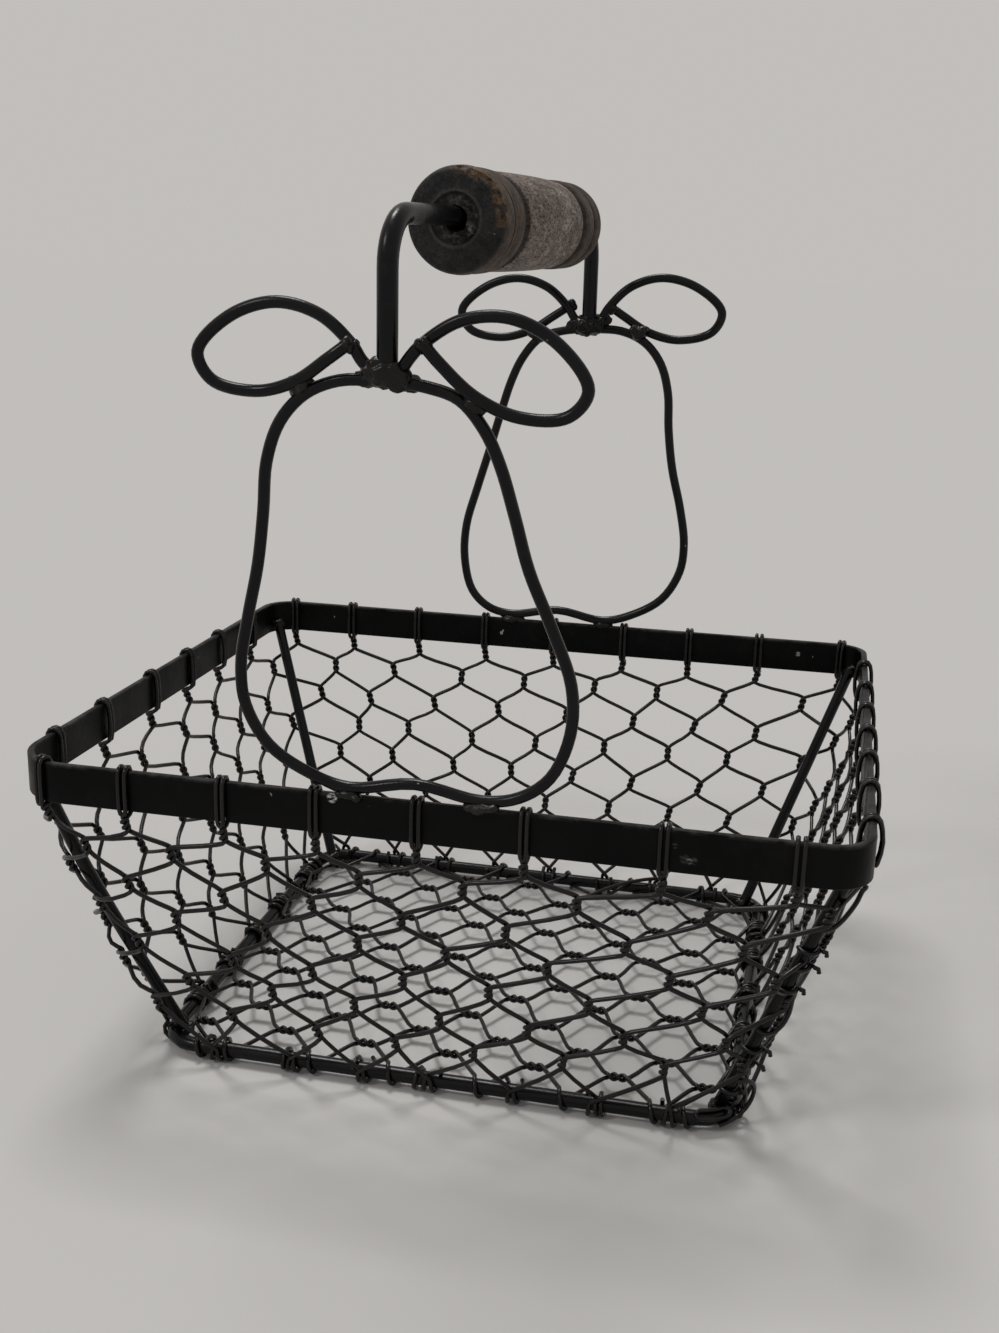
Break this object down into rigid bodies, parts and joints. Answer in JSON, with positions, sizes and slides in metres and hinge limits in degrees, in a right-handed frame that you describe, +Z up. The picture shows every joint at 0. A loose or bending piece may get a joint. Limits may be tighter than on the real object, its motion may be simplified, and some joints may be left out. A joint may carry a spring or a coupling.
{
  "type": "wire egg basket",
  "caption": "Rectangular wire egg basket with sloping hexagonal netting, a flat band rim, pear-shaped wire ends and a rod handle with a turned wooden grip.",
  "frame": {"origin": "on the floor under the middle of the basket", "axes": "+Z up, +X along the longer rim, the handle crosses from the front at -Y to the back at +Y"},
  "size_m": [0.2258, 0.2004, 0.2475],
  "materials": {
    "band_paint": "worn satin black paint with small pale chips",
    "rod_paint": "satin black paint",
    "wire_paint": "black-brown painted netting wire",
    "weld_paint": "lumpy weld under black paint",
    "turned_wood": "weathered grey-brown turned wood with chipped black paint on its ends"
  },
  "bodies": {
    "basket": {"rim_band": "band_paint", "base_ring": "rod_paint", "handle_rod": "rod_paint", "front_left_post": "rod_paint", "front_right_post": "rod_paint", "back_right_post": "rod_paint", "back_left_post": "rod_paint", "front_pear_wire": "rod_paint", "back_pear_wire": "rod_paint", "front_left_leaf": "rod_paint", "front_right_leaf": "rod_paint", "back_left_leaf": "rod_paint", "back_right_leaf": "rod_paint", "front_netting": "wire_paint", "right_netting": "wire_paint", "back_netting": "wire_paint", "left_netting": "wire_paint", "base_netting": "wire_paint", "front_stem_weld": "weld_paint", "back_stem_weld": "weld_paint", "front_left_foot_weld": "weld_paint", "front_right_foot_weld": "weld_paint", "back_left_foot_weld": "weld_paint", "back_right_foot_weld": "weld_paint", "front_left_leaf_weld": "weld_paint", "front_right_leaf_weld": "weld_paint", "back_left_leaf_weld": "weld_paint", "back_right_leaf_weld": "weld_paint"},
    "grip": {"wooden_grip": "turned_wood"}
  },
  "joints": [
    {"name": "grip_spin", "type": "hinge", "parent": "basket", "child": "grip", "pos_m": [0, 0, 0.23465], "axis": [0.0783, 0.9969, 0.0101], "continuous": true}
  ]
}
